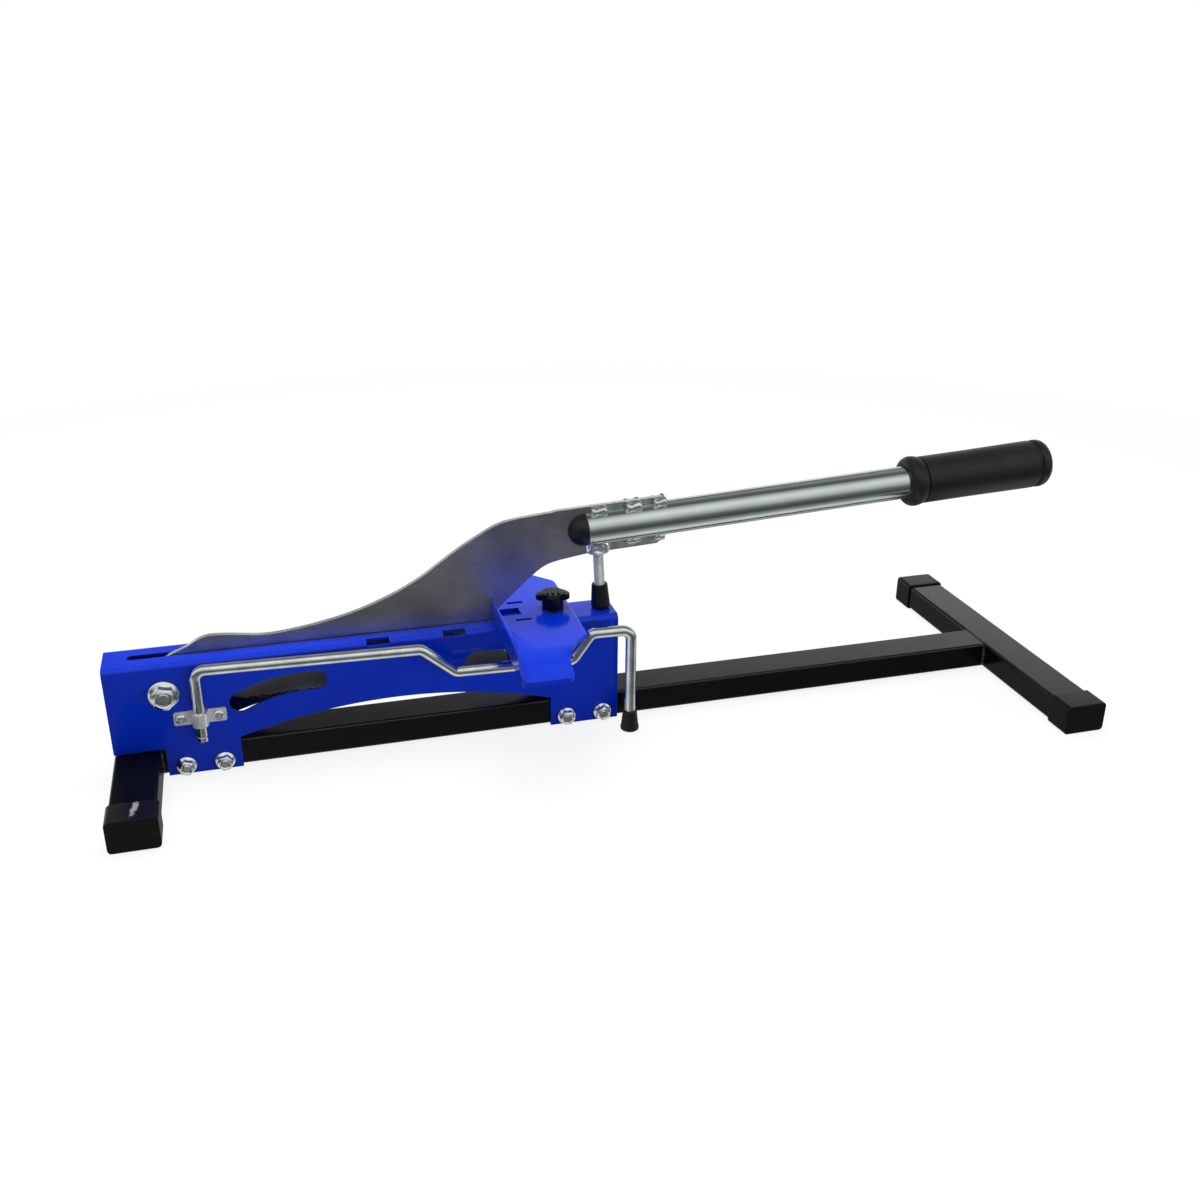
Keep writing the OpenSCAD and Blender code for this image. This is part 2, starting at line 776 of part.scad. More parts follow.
// lobed hand knob with three ribs across its top
module knob() {
    hub_h = 7.5;
    lobe_r = 5;
    color(black)
        translate([left_x + fence_x + clamp_dx, 0, knob_z])
            rotate([0, 0, -10])
                difference() {
                    union() {
                        cylinder(r = 8, h = hub_h + 2);
                        translate([0, 0, hub_h])
                            intersection() {
                                linear_extrude(knob_h - hub_h - 1) {
                                    circle(8.6);
                                    for (a = [0 : 90 : 270])
                                        rotate(a) translate([knob_r - lobe_r, 0]) circle(lobe_r);
                                }
                                translate([0, 0, -24.5]) sphere(r = 30.5, $fn = 120);
                            }
                        for (y = [-4, 0, 4])
                            translate([-0.9 + y, -5, knob_h - 2.5]) cube([1.8, 10, 2.4]);
                    }
                    translate([0, 0, -1]) cylinder(r = 5 + seat_c, h = 9 + seat_c);
                    cylinder(r = m6_r + 0.3, h = 11.5);
                }
}

// a bend of the rod: starts at the origin along +X and turns by a in the XZ plane
module rod_turn(a) {
    if (a != 0)
        translate([0, 0, sign(a) * rod_bend])
            rotate([90, 0, 0])
                rotate([0, 0, a > 0 ? -90 : 90 + a])
                    rotate_extrude(angle = abs(a))
                        translate([rod_bend, 0]) circle(rod_r + bend_swell);
}

// straight piece of rod from the origin along +X, let a little way into the bends at its ends
module rod_run(l, before, after) {
    translate([-before, 0, 0]) rotate([0, 90, 0]) cylinder(r = rod_r, h = l + before + after);
}

let_in = 0.4;
bend_swell = 0.03;
rod_drop = rod_hi - rod_lo;
// straight part of a slope that climbs a height between two equal bends
function slope_len(h, a) = (h - 2 * rod_bend * (1 - cos(a))) / sin(a);
// ground covered by a slope and its two bends
function slope_run(h, a) = slope_len(h, a) * cos(a) + 2 * rod_bend * sin(a);
// the rod's course as straight lengths, each followed by a turn
course = [[rod_hi - rod_bend - rod_z0 - groove_z - 1, -90], [jog_x - rod_bend, -jog_a],
    [slope_len(rod_drop, jog_a), jog_a],
    [dip_end - jog_x - slope_run(rod_drop, jog_a), jog_b],
    [slope_len(rod_drop, jog_b), -jog_b],
    [rod_reach - rod_bend - dip_end - slope_run(rod_drop, jog_b), -90],
    [rod_hi - rod_bend - 4, 0]];
// place and heading at the start of step i of the course
function pose(i) = i == 0 ? [0, rod_z0 + groove_z + 1, 90] :
    let (p = pose(i - 1), l = course[i - 1][0], a = course[i - 1][1], s = sign(a), h = p[2])
        [p[0] + l * cos(h) - s * rod_bend * (sin(h) - sin(h + a)),
            p[1] + l * sin(h) + s * rod_bend * (cos(h) - cos(h + a)), h + a];

module support_rod() {
    color(zinc)
        translate([left_x + rod_x, rod_y, 0])
            rotate([0, 0, -rod_swing]) {
                // hinge leg's end with a groove round it
                translate([0, 0, rod_z0]) cylinder(r1 = rod_r - 0.8, r2 = rod_r, h = 0.8);
                translate([0, 0, rod_z0 + 0.8]) cylinder(r = rod_r, h = groove_z - 0.8);
                translate([0, 0, rod_z0 + groove_z]) cylinder(r = rod_r - 0.5, h = 1);
                for (i = [0 : len(course) - 1])
                    translate([pose(i)[0], 0, pose(i)[1]])
                        rotate([0, -pose(i)[2], 0]) {
                            rod_run(course[i][0], i > 0 ? let_in : 0,
                                course[i][1] != 0 ? let_in : 0);
                            translate([course[i][0], 0, 0]) rod_turn(course[i][1]);
                        }
            }
}

module rod_foot() {
    color(black)
        translate([left_x + rod_x, rod_y, 0])
            rotate([0, 0, -rod_swing])
                translate([rod_reach, 0, 0])
                    difference() {
                        rotate_extrude()
                            polygon([[0, 0], [6.3, 0], [6.9, 0.7], [6.9, 2.6], [6.4, 4.5],
                                [5.2, 15.2], [4.8, 16], [0, 16]]);
                        translate([0, 0, 4 - seat_c]) cylinder(r = rod_r + seat_c, h = 20);
                    }
}

left_foot_tube();
right_foot_tube();
centre_tube();
left_cap_front();
left_cap_rear();
right_cap_front();
right_cap_rear();
cutter_body();
foot_bolts();
foot_nuts();
pivot_bolt();
pivot_nut();
spacer_front();
spacer_rear();
rod_strap();
strap_screws();
blade();
handle_tube();
tube_plugs();
grip();
stop_screw();
stop_nut();
stop_foot();
fence();
clamp_bolt();
clamp_washer();
knob_insert();
knob();
support_rod();
rod_foot();
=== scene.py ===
import json
import math
import random
import bpy
import bmesh
from mathutils import Matrix, Vector


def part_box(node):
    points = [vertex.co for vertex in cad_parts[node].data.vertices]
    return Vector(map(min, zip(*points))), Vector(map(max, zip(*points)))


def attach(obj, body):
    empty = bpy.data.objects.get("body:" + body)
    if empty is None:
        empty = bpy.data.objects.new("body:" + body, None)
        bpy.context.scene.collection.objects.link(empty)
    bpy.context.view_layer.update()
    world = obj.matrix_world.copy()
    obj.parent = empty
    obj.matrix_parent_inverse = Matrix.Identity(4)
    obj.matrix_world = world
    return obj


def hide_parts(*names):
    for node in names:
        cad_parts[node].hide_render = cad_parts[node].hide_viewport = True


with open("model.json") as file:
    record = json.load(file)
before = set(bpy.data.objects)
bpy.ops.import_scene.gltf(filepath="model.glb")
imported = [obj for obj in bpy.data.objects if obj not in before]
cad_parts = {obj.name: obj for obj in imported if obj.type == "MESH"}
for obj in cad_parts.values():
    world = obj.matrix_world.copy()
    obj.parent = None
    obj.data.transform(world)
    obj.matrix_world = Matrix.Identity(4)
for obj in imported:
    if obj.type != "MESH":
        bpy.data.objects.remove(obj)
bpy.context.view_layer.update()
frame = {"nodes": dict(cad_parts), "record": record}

nodes = frame["nodes"]
record = frame["record"]
bodyOf = {n: body for body, members in record["behaviour"]["bodies"].items() for n in members}
slotOf = {s["node"]: s["material_slot"] for s in record["subparts"]}
mm = 0.001
leftX = -340.8  # the left foot's centreline, from which lengths run
scene = bpy.context.scene
print("frame loaded:", len(nodes), "nodes")


# shader groups that several finishes share
def newGroup(name, inputs, outputs):
    group = bpy.data.node_groups.new(name, "ShaderNodeTree")
    for label, kind, value in inputs:
        socket = group.interface.new_socket(name=label, in_out="INPUT", socket_type=kind)
        socket.default_value = value
    for label, kind in outputs:
        group.interface.new_socket(name=label, in_out="OUTPUT", socket_type=kind)
    return group, group.nodes.new("NodeGroupInput"), group.nodes.new("NodeGroupOutput")


def addMath(tree, operation, first, second=None, clamp=False):
    node = tree.nodes.new("ShaderNodeMath")
    node.operation = operation
    node.use_clamp = clamp
    for i, value in enumerate((first, second)):
        if value is None:
            continue
        if isinstance(value, (int, float)):
            node.inputs[i].default_value = value
        else:
            tree.links.new(value, node.inputs[i])
    return node.outputs[0]


def addRange(tree, value, low, high):
    node = tree.nodes.new("ShaderNodeMapRange")
    node.interpolation_type = "SMOOTHSTEP"
    tree.links.new(value, node.inputs["Value"])
    for label, edge in (("From Min", low), ("From Max", high)):
        if isinstance(edge, (int, float)):
            node.inputs[label].default_value = edge
        else:
            tree.links.new(edge, node.inputs[label])
    return node.outputs["Result"]


def addNoise(tree, vector, scale, detail=3.0, roughness=0.55):
    node = tree.nodes.new("ShaderNodeTexNoise")
    node.inputs["Detail"].default_value = detail
    node.inputs["Roughness"].default_value = roughness
    tree.links.new(vector, node.inputs["Vector"])
    if isinstance(scale, (int, float)):
        node.inputs["Scale"].default_value = scale
    else:
        tree.links.new(scale, node.inputs["Scale"])
    return node.outputs["Fac"]


def makeSurfaceGrain():
    group, start, end = newGroup("surfaceGrain", [
        ("Scale", "NodeSocketFloat", 600.0),
        ("Stretch", "NodeSocketVector", (1.0, 1.0, 1.0)),
        ("Cloud Scale", "NodeSocketFloat", 18.0),
    ], [("Grain", "NodeSocketFloat"), ("Cloud", "NodeSocketFloat")])
    coords = group.nodes.new("ShaderNodeTexCoord").outputs["Object"]
    stretch = group.nodes.new("ShaderNodeVectorMath")
    stretch.operation = "MULTIPLY"
    group.links.new(coords, stretch.inputs[0])
    group.links.new(start.outputs["Stretch"], stretch.inputs[1])
    fine = addNoise(group, stretch.outputs[0], start.outputs["Scale"], 4.0, 0.6)
    cloud = addNoise(group, coords, start.outputs["Cloud Scale"], 3.0, 0.5)
    group.links.new(addRange(group, fine, 0.3, 0.7), end.inputs["Grain"])
    group.links.new(addRange(group, cloud, 0.3, 0.7), end.inputs["Cloud"])
    return group


def makeEdgeWear():
    group, start, end = newGroup("edgeWear", [
        ("Radius", "NodeSocketFloat", 0.0008),
        ("Amount", "NodeSocketFloat", 0.5),
    ], [("Wear", "NodeSocketFloat")])
    rounded = group.nodes.new("ShaderNodeBevel")
    rounded.samples = 6
    group.links.new(start.outputs["Radius"], rounded.inputs["Radius"])
    flat = group.nodes.new("ShaderNodeNewGeometry")
    dot = group.nodes.new("ShaderNodeVectorMath")
    dot.operation = "DOT_PRODUCT"
    group.links.new(rounded.outputs[0], dot.inputs[0])
    group.links.new(flat.outputs["Normal"], dot.inputs[1])
    edge = addRange(group, addMath(group, "SUBTRACT", 1.0, dot.outputs["Value"]), 0.02, 0.22)
    coords = group.nodes.new("ShaderNodeTexCoord").outputs["Object"]
    patchy = addRange(group, addNoise(group, coords, 140.0, 4.0, 0.65), 0.48, 0.62)
    worn = addMath(group, "MULTIPLY", edge, patchy)
    group.links.new(addMath(group, "MULTIPLY", worn, start.outputs["Amount"], True), end.inputs["Wear"])
    return group


def makeDustFilm():
    group, start, end = newGroup("dustFilm", [
        ("Amount", "NodeSocketFloat", 0.1),
        ("Specks", "NodeSocketFloat", 900.0),
    ], [("Dust", "NodeSocketFloat")])
    facing = group.nodes.new("ShaderNodeSeparateXYZ")
    group.links.new(group.nodes.new("ShaderNodeNewGeometry").outputs["Normal"], facing.inputs[0])
    upward = addRange(group, facing.outputs["Z"], 0.1, 0.95)
    coords = group.nodes.new("ShaderNodeTexCoord").outputs["Object"]
    drift = addRange(group, addNoise(group, coords, 26.0, 3.0), 0.35, 0.75)
    specks = addRange(group, addNoise(group, coords, start.outputs["Specks"], 2.0), 0.55, 0.75)
    film = addMath(group, "MULTIPLY", upward, addMath(group, "ADD", addMath(group, "MULTIPLY", drift, 0.5), specks))
    group.links.new(addMath(group, "MULTIPLY", film, start.outputs["Amount"], True), end.inputs["Dust"])
    return group


surfaceGrain = makeSurfaceGrain()
edgeWear = makeEdgeWear()
dustFilm = makeDustFilm()


def placeGroup(tree, group, values):
    node = tree.nodes.new("ShaderNodeGroup")
    node.node_tree = group
    for label, value in values.items():
        node.inputs[label].default_value = value
    return node


def mixColor(tree, factor, first, second):
    node = tree.nodes.new("ShaderNodeMix")
    node.data_type = "RGBA"
    sockets = [s for s in node.inputs if s.type == "RGBA"]
    for socket, value in zip(sockets, (first, second)):
        if isinstance(value, tuple):
            socket.default_value = value + (1.0,)
        else:
            tree.links.new(value, socket)
    tree.links.new(factor, node.inputs["Factor"])
    return [s for s in node.outputs if s.type == "RGBA"][0]


# every finish: two tones, roughness range, grain, wear and dust
finishes = {
    "bluePaint": dict(
        tones=((0.0008, 0.033, 0.60), (0.0006, 0.028, 0.54)), rough=(0.11, 0.17), metallic=0.0,
        specular=0.34, grain=900.0, stretch=(1, 1, 1), cloud=14.0, bump=0.05, depth=0.00012,
        wear=0.22, wearRadius=0.0007, wearTone=(0.06, 0.15, 0.75), dust=0.008),
    # painted shade: a darker, rougher blue that stands in for the shade inside the body
    "paintedShadeInside": dict(
        tones=((0.0005, 0.013, 0.17), (0.0004, 0.009, 0.11)), rough=(0.35, 0.50), metallic=0.0,
        specular=0.25, grain=900.0, stretch=(1, 1, 1), cloud=22.0, bump=0.12, depth=0.00015,
        wear=0.0, wearRadius=0.0007, wearTone=(0.06, 0.15, 0.75), dust=0.0),
    "blackPaint": dict(
        tones=((0.0013, 0.0013, 0.0014), (0.0024, 0.0024, 0.0023)), rough=(0.10, 0.17), metallic=0.0,
        specular=0.50, grain=1400.0, stretch=(1, 1, 1), cloud=20.0, bump=0.10, depth=0.00015,
        wear=0.30, wearRadius=0.0008, wearTone=(0.04, 0.04, 0.04), dust=0.02),
    "dullBlack": dict(
        tones=((0.0013, 0.0013, 0.0014), (0.0024, 0.0024, 0.0023)), rough=(0.14, 0.22), metallic=0.0,
        specular=0.10, grain=1400.0, stretch=(1, 1, 1), cloud=20.0, bump=0.10, depth=0.00015,
        wear=0.30, wearRadius=0.0008, wearTone=(0.04, 0.04, 0.04), dust=0.005),
    "blackPlastic": dict(
        tones=((0.0016, 0.0016, 0.0017), (0.0028, 0.0028, 0.0029)), rough=(0.24, 0.34), metallic=0.0,
        specular=0.28, grain=1900.0, stretch=(1, 1, 1), cloud=40.0, bump=0.22, depth=0.0002,
        wear=0.30, wearRadius=0.0009, wearTone=(0.03, 0.03, 0.03), dust=0.02),
    "blackRubber": dict(
        tones=((0.0050, 0.0050, 0.0050), (0.0080, 0.0080, 0.0080)), rough=(0.36, 0.48), metallic=0.0,
        specular=0.42, grain=1500.0, stretch=(1, 1, 1), cloud=30.0, bump=0.20, depth=0.0002,
        wear=0.2, wearRadius=0.0009, wearTone=(0.03, 0.03, 0.03), dust=0.02),
    "zincPlate": dict(
        tones=((0.94, 0.98, 0.97), (0.80, 0.85, 0.84)), rough=(0.12, 0.22), metallic=1.0,
        specular=0.5, grain=1200.0, stretch=(1, 1, 1), cloud=120.0, bump=0.06, depth=0.0001,
        wear=0.3, wearRadius=0.0004, wearTone=(0.75, 0.76, 0.74), dust=0.0),
    "brightPlate": dict(
        tones=((0.72, 0.80, 0.77), (0.62, 0.69, 0.66)), rough=(0.10, 0.19), metallic=1.0,
        specular=0.5, grain=480.0, stretch=(0.03, 1, 1), cloud=24.0, bump=0.04, depth=0.0001,
        wear=0.0, wearRadius=0.0004, wearTone=(0.8, 0.8, 0.8), dust=0.0),
    "strapPlate": dict(
        tones=((0.96, 0.98, 0.98), (0.80, 0.83, 0.83)), rough=(0.14, 0.24), metallic=0.50,
        specular=0.5, grain=1200.0, stretch=(1, 1, 1), cloud=160.0, bump=0.06, depth=0.0001,
        wear=0.0, wearRadius=0.0004, wearTone=(0.8, 0.8, 0.8), dust=0.0),
    "rodPlate": dict(
        tones=((0.92, 0.98, 0.97), (0.70, 0.77, 0.77)), rough=(0.12, 0.22), metallic=1.0,
        specular=0.5, grain=420.0, stretch=(0.25, 1, 0.25), cloud=90.0, bump=0.05, depth=0.0001,
        wear=0.0, wearRadius=0.0004, wearTone=(0.8, 0.8, 0.8), dust=0.0),
    "bladeSteel": dict(
        tones=((0.37, 0.375, 0.385), (0.58, 0.585, 0.59)), rough=(0.36, 0.46), metallic=1.0,
        specular=0.5, grain=700.0, stretch=(0.15, 1, 1), cloud=16.0, bump=0.03, depth=0.0001,
        wear=0.9, wearRadius=0.0008, wearTone=(0.80, 0.80, 0.79), dust=0.0),
    "zincSpray": dict(
        tones=((0.46, 0.51, 0.48), (0.28, 0.31, 0.30)), rough=(0.28, 0.42), metallic=0.55,
        specular=0.5, grain=800.0, stretch=(1, 1, 1), cloud=150.0, bump=0.14, depth=0.00015,
        wear=0.7, wearRadius=0.0007, wearTone=(0.80, 0.82, 0.80), dust=0.0),
    "groundEdge": dict(
        tones=((0.88, 0.88, 0.87), (0.76, 0.76, 0.75)), rough=(0.20, 0.34), metallic=1.0,
        specular=0.5, grain=900.0, stretch=(0.3, 1, 1), cloud=60.0, bump=0.10, depth=0.0001,
        wear=0.0, wearRadius=0.0004, wearTone=(0.8, 0.8, 0.8), dust=0.0),
    "weldSteel": dict(
        tones=((0.86, 0.89, 0.87), (0.66, 0.69, 0.67)), rough=(0.08, 0.18), metallic=1.0,
        specular=0.5, grain=700.0, stretch=(1, 1, 1), cloud=260.0, bump=0.25, depth=0.0003,
        wear=0.0, wearRadius=0.0004, wearTone=(0.7, 0.7, 0.7), dust=0.0),
}


dustTone = (0.42, 0.41, 0.39)
dustRoughness = 0.8


def makeFinish(name, s):
    material = bpy.data.materials.new(name)
    material.use_nodes = True
    tree = material.node_tree
    shader = tree.nodes["Principled BSDF"]
    grain = placeGroup(tree, surfaceGrain, {"Scale": s["grain"], "Stretch": s["stretch"], "Cloud Scale": s["cloud"]})
    color = mixColor(tree, grain.outputs["Cloud"], *s["tones"])
    if s["wear"]:
        wear = placeGroup(tree, edgeWear, {"Radius": s["wearRadius"], "Amount": s["wear"]})
        color = mixColor(tree, wear.outputs["Wear"], color, s["wearTone"])
    rough = tree.nodes.new("ShaderNodeMapRange")
    tree.links.new(grain.outputs["Grain"], rough.inputs["Value"])
    rough.inputs["To Min"].default_value, rough.inputs["To Max"].default_value = s["rough"]
    roughness = rough.outputs["Result"]
    if s["dust"]:
        dust = placeGroup(tree, dustFilm, {"Amount": s["dust"]})
        color = mixColor(tree, dust.outputs["Dust"], color, dustTone)
        dulled = addMath(tree, "MULTIPLY", dust.outputs["Dust"], dustRoughness)
        roughness = addMath(tree, "ADD", roughness, dulled, True)
    bump = tree.nodes.new("ShaderNodeBump")
    bump.inputs["Strength"].default_value = s["bump"]
    bump.inputs["Distance"].default_value = s["depth"]
    tree.links.new(grain.outputs["Grain"], bump.inputs["Height"])
    tree.links.new(color, shader.inputs["Base Color"])
    tree.links.new(roughness, shader.inputs["Roughness"])
    tree.links.new(bump.outputs["Normal"], shader.inputs["Normal"])
    shader.inputs["Metallic"].default_value = s["metallic"]
    shader.inputs["Specular IOR Level"].default_value = s["specular"]
    return material


finish = {name: makeFinish(name, s) for name, s in finishes.items()}
slotFinish = {
    "blue_paint": "bluePaint", "black_paint": "blackPaint", "black_plastic": "blackPlastic",
    "black_rubber": "blackRubber", "zinc_steel": "zincPlate", "bright_plate": "brightPlate",
    "blade_steel": "bladeSteel",
}


# the left front cap carries a pale scuff along its top
scuff = dict(centre=(-0.3392, -0.0900, 0.0230), size=(0.0032, 0.0140, 0.0040), turn=-0.15,
             tone=(0.38, 0.38, 0.40), amount=0.70, raggedScale=420.0, ragged=1.5, edge=(1.15, 1.55))


def makeScuffedPlastic():
    material = finish["blackPlastic"].copy()
    material.name = "scuffedPlastic"
    tree = material.node_tree
    shader = tree.nodes["Principled BSDF"]
    coords = tree.nodes.new("ShaderNodeTexCoord").outputs["Object"]
    place = tree.nodes.new("ShaderNodeMapping")
    place.vector_type = "TEXTURE"
    place.inputs["Location"].default_value = scuff["centre"]
    place.inputs["Scale"].default_value = scuff["size"]
    place.inputs["Rotation"].default_value = (0.0, 0.0, scuff["turn"])
    tree.links.new(coords, place.inputs["Vector"])
    length = tree.nodes.new("ShaderNodeVectorMath")
    length.operation = "LENGTH"
    tree.links.new(place.outputs[0], length.inputs[0])
    ragged = addNoise(tree, coords, scuff["raggedScale"], 5.0, 0.7)
    reach = addMath(tree, "ADD", length.outputs["Value"], addMath(tree, "MULTIPLY", ragged, scuff["ragged"]))
    mask = addMath(tree, "SUBTRACT", 1.0, addRange(tree, reach, *scuff["edge"]))
    before = shader.inputs["Base Color"].links[0].from_socket
    tone = mixColor(tree, addMath(tree, "MULTIPLY", mask, scuff["amount"]), before, scuff["tone"])
    tree.links.new(tone, shader.inputs["Base Color"])
    return material


finish["scuffedPlastic"] = makeScuffedPlastic()
print("finishes made:", len(finish))


# mesh helpers
def setSmooth(mesh, angle=0.6):
    mesh.polygons.foreach_set("use_smooth", [True] * len(mesh.polygons))
    mesh.set_sharp_from_angle(angle=angle)


def addPiece(name, bm, body, finishName, stands=(), angle=0.6, weighted=True):
    mesh = bpy.data.meshes.new(name)
    bm.to_mesh(mesh)
    bm.free()
    setSmooth(mesh, angle)
    mesh.materials.append(finish[finishName])
    piece = bpy.data.objects.new(name, mesh)
    scene.collection.objects.link(piece)
    if weighted:
        piece.modifiers.new("evenNormals", "WEIGHTED_NORMAL").keep_sharp = True
    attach(piece, body)
    if stands:
        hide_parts(*stands)
    return piece


def cleanCopy(node):
    bm = bmesh.new()
    bm.from_mesh(nodes[node].data)
    bmesh.ops.remove_doubles(bm, verts=bm.verts, dist=2e-6)
    bmesh.ops.dissolve_limit(bm, angle_limit=math.radians(0.4), verts=bm.verts, edges=bm.edges)
    return bm


def softenEdges(bm, width, corner=0.5, segments=2):
    sharp = [e for e in bm.edges if len(e.link_faces) == 2 and e.calc_face_angle(0.0) > corner]
    if sharp:
        bmesh.ops.bevel(bm, geom=sharp, offset=width, offset_type="OFFSET", segments=segments,
                        profile=0.5, affect="EDGES", clamp_overlap=True, material=-1)


# sheet, tube and moulded pieces: the solids with rounded edges, widths in mm
softened = {
    "left_foot_tube": 0.0, "right_foot_tube": 0.0, "centre_tube": 0.0,
    "left_cap_front": 0.9, "left_cap_rear": 0.9, "right_cap_front": 0.9, "right_cap_rear": 0.9,
    "cutter_body": 0.3, "fence": 0.3, "blade": 0.25, "handle_tube": 0.25, "tube_plugs": 0.3,
    "rod_strap": 0.25, "strap_screws": 0.2, "knob": 0.45, "knob_insert": 0.2, "clamp_bolt": 0.2,
    "clamp_washer": 0.2, "spacer_front": 0.2, "spacer_rear": 0.2, "stop_foot": 0.3, "rod_foot": 0.3,
}


def camel(node):
    first, *rest = node.split("_")
    return first + "".join(word.capitalize() for word in rest)


ownFinish = {"left_foot_tube": "dullBlack", "left_cap_front": "scuffedPlastic",
             "rod_strap": "strapPlate", "tube_plugs": "blackRubber"}
strapEars = dict(corner=1.6, segments=4)  # the ears' four far corners are rounded
bladeTail = dict(place=leftX + 327.0, flat=0.9995)  # from here on its flats are sprayed
paintedShadeZone = dict(wall=16.0, roof=70.0)  # within these, inner faces get a darker blue: painted shade for the body's inside


def roundEars(shape, s):
    ends = [corner[0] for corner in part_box("rod_strap")]
    corners = [e for e in shape.edges if abs(e.verts[0].co.y - e.verts[1].co.y) > 0.99 * e.calc_length()
               and any(abs(e.verts[0].co.x - end) < 0.1 * mm for end in ends)]
    bmesh.ops.bevel(shape, geom=corners, offset=s["corner"] * mm, offset_type="OFFSET", segments=s["segments"],
                    profile=0.5, affect="EDGES", clamp_overlap=True, material=-1)


def dressBlade(piece, s):
    # bright cut rim and ground bevel, zinc spray on the welded tail
    for extra in ("groundEdge", "zincSpray"):
        piece.data.materials.append(finish[extra])
    for face in piece.data.polygons:
        rim = abs(face.normal.y) < s["flat"]
        face.material_index = 2 if face.center.x > s["place"] * mm and not rim else int(rim)


def shadeBodyInside(piece, s):
    # painted shade: inward faces within the walls and downward faces under the roof get the darker inside blue
    piece.data.materials.append(finish["paintedShadeInside"])
    for face in piece.data.polygons:
        y, z = face.center.y / mm, face.center.z / mm
        within = abs(y) < s["wall"]
        inward = within and face.normal.y * y < -0.3 * abs(y)
        underRoof = within and z > s["roof"] and face.normal.z < -0.5
        face.material_index = int(inward or underRoof)


for node, width in softened.items():
    shape = cleanCopy(node)
    if node == "rod_strap":
        roundEars(shape, strapEars)
    if width:
        softenEdges(shape, width * mm)
    if node == "blade":
        bmesh.ops.bisect_plane(shape, geom=shape.verts[:] + shape.edges[:] + shape.faces[:], dist=1e-6,
                               plane_co=(bladeTail["place"] * mm, 0, 0), plane_no=(1, 0, 0))
    look = ownFinish.get(node, slotFinish[slotOf[node]])
    piece = addPiece(camel(node), shape, bodyOf[node], look, (node,))
    if node == "blade":
        dressBlade(piece, bladeTail)
    if node == "cutter_body":
        shadeBodyInside(piece, paintedShadeZone)
print("softened pieces:", len(softened))


def at(x, y, z):
    return Vector(((leftX + x) * mm, y * mm, z * mm))


def lathe(profile, segments=64):
    # a closed outline of (radius, height) pairs in mm, turned about Z
    bm = bmesh.new()
    rings = []
    for r, z in profile:
        if r < 1e-6:
            rings.append([bm.verts.new((0.0, 0.0, z * mm))])
        else:
            rings.append([bm.verts.new((r * mm * math.cos(2 * math.pi * i / segments),
                                        r * mm * math.sin(2 * math.pi * i / segments), z * mm))
                          for i in range(segments)])
    for a, b in zip(rings, rings[1:] + rings[:1]):
        for i in range(segments):
            j = (i + 1) % segments
            corners = [a[i % len(a)], a[j % len(a)], b[j % len(b)], b[i % len(b)]]
            unique = list(dict.fromkeys(corners))
            if len(unique) > 2:
                bm.faces.new(unique)
    bmesh.ops.recalc_face_normals(bm, faces=bm.faces)
    return bm


def smoothRun(points, steps):
    out = []
    for i in range(len(points) - 1):
        p = [points[max(i - 1, 0)], points[i], points[i + 1], points[min(i + 2, len(points) - 1)]]
        for k in range(steps):
            t = k / steps
            out.append(tuple(0.5 * (2 * b + (c - a) * t + (2 * a - 5 * b + 4 * c - d) * t * t
                                    + (3 * b - a - 3 * c + d) * t ** 3) for a, b, c, d in zip(*p)))
    return out + [points[-1]]


def hexPrism(across, height):
    bm = bmesh.new()
    bmesh.ops.create_cone(bm, cap_ends=True, segments=6, radius1=across / math.sqrt(3) * mm,
                          radius2=across / math.sqrt(3) * mm, depth=height * mm)
    bmesh.ops.translate(bm, vec=(0, 0, height * mm / 2), verts=bm.verts)
    return bm


def combine(first, second, operation):
    pair = []
    for bm in (first, second):
        mesh = bpy.data.meshes.new("carving")
        bm.to_mesh(mesh)
        bm.free()
        thing = bpy.data.objects.new("carving", mesh)
        scene.collection.objects.link(thing)
        pair.append(thing)
    cut = pair[0].modifiers.new("cut", "BOOLEAN")
    cut.operation = operation
    cut.solver = "EXACT"
    cut.object = pair[1]
    result = bmesh.new()
    result.from_mesh(pair[0].evaluated_get(bpy.context.evaluated_depsgraph_get()).to_mesh())
    for thing in pair:
        mesh = thing.data
        bpy.data.objects.remove(thing)
        bpy.data.meshes.remove(mesh)
    bmesh.ops.remove_doubles(result, verts=result.verts, dist=1e-6)
    return result


def joinInto(target, part, matrix):
    part.transform(matrix)
    mesh = bpy.data.meshes.new("part")
    part.to_mesh(mesh)
    part.free()
    target.from_mesh(mesh)
    bpy.data.meshes.remove(mesh)


def chamferedHex(across, height, flat=0.475):
    # the hexagon's end is turned off at 30 degrees outside the flat's radius
    outer = across / math.sqrt(3) * 1.2
    drop = (outer - across * flat) * math.tan(math.radians(30))
    profile = [(0, 0), (outer, 0), (outer, height - drop), (across * flat, height), (0, height)]
    return combine(hexPrism(across, height), lathe(profile, 96), "INTERSECT")


nutFlat = 0.40  # share of the width across flats where a nut's end chamfer starts


def flangeNut(s):
    nut = chamferedHex(s["across"], s["height"], nutFlat)
    r, t = s["flange"], s["flangeHeight"]
    skirt = lathe([(0, 0), (r - 0.35, 0), (r, 0.35), (r, t * 0.65), (r - 0.3, t * 0.9),
                   (r - 0.9, t * 1.15), (s["across"] * 0.5, t * 1.9), (0, t * 1.9)], 72)
    nut = combine(nut, skirt, "UNION")
    b = s["bore"]
    hole = lathe([(0, -1), (b, -1), (b, s["height"] - 0.8), (b + 1.0, s["height"] + 0.2), (0, s["height"] + 0.2)], 48)
    nut = combine(nut, hole, "DIFFERENCE")
    softenEdges(nut, 0.16 * mm, 0.4)
    return nut


endCut = 0.75  # a bolt's end is chamfered over this share of a pitch


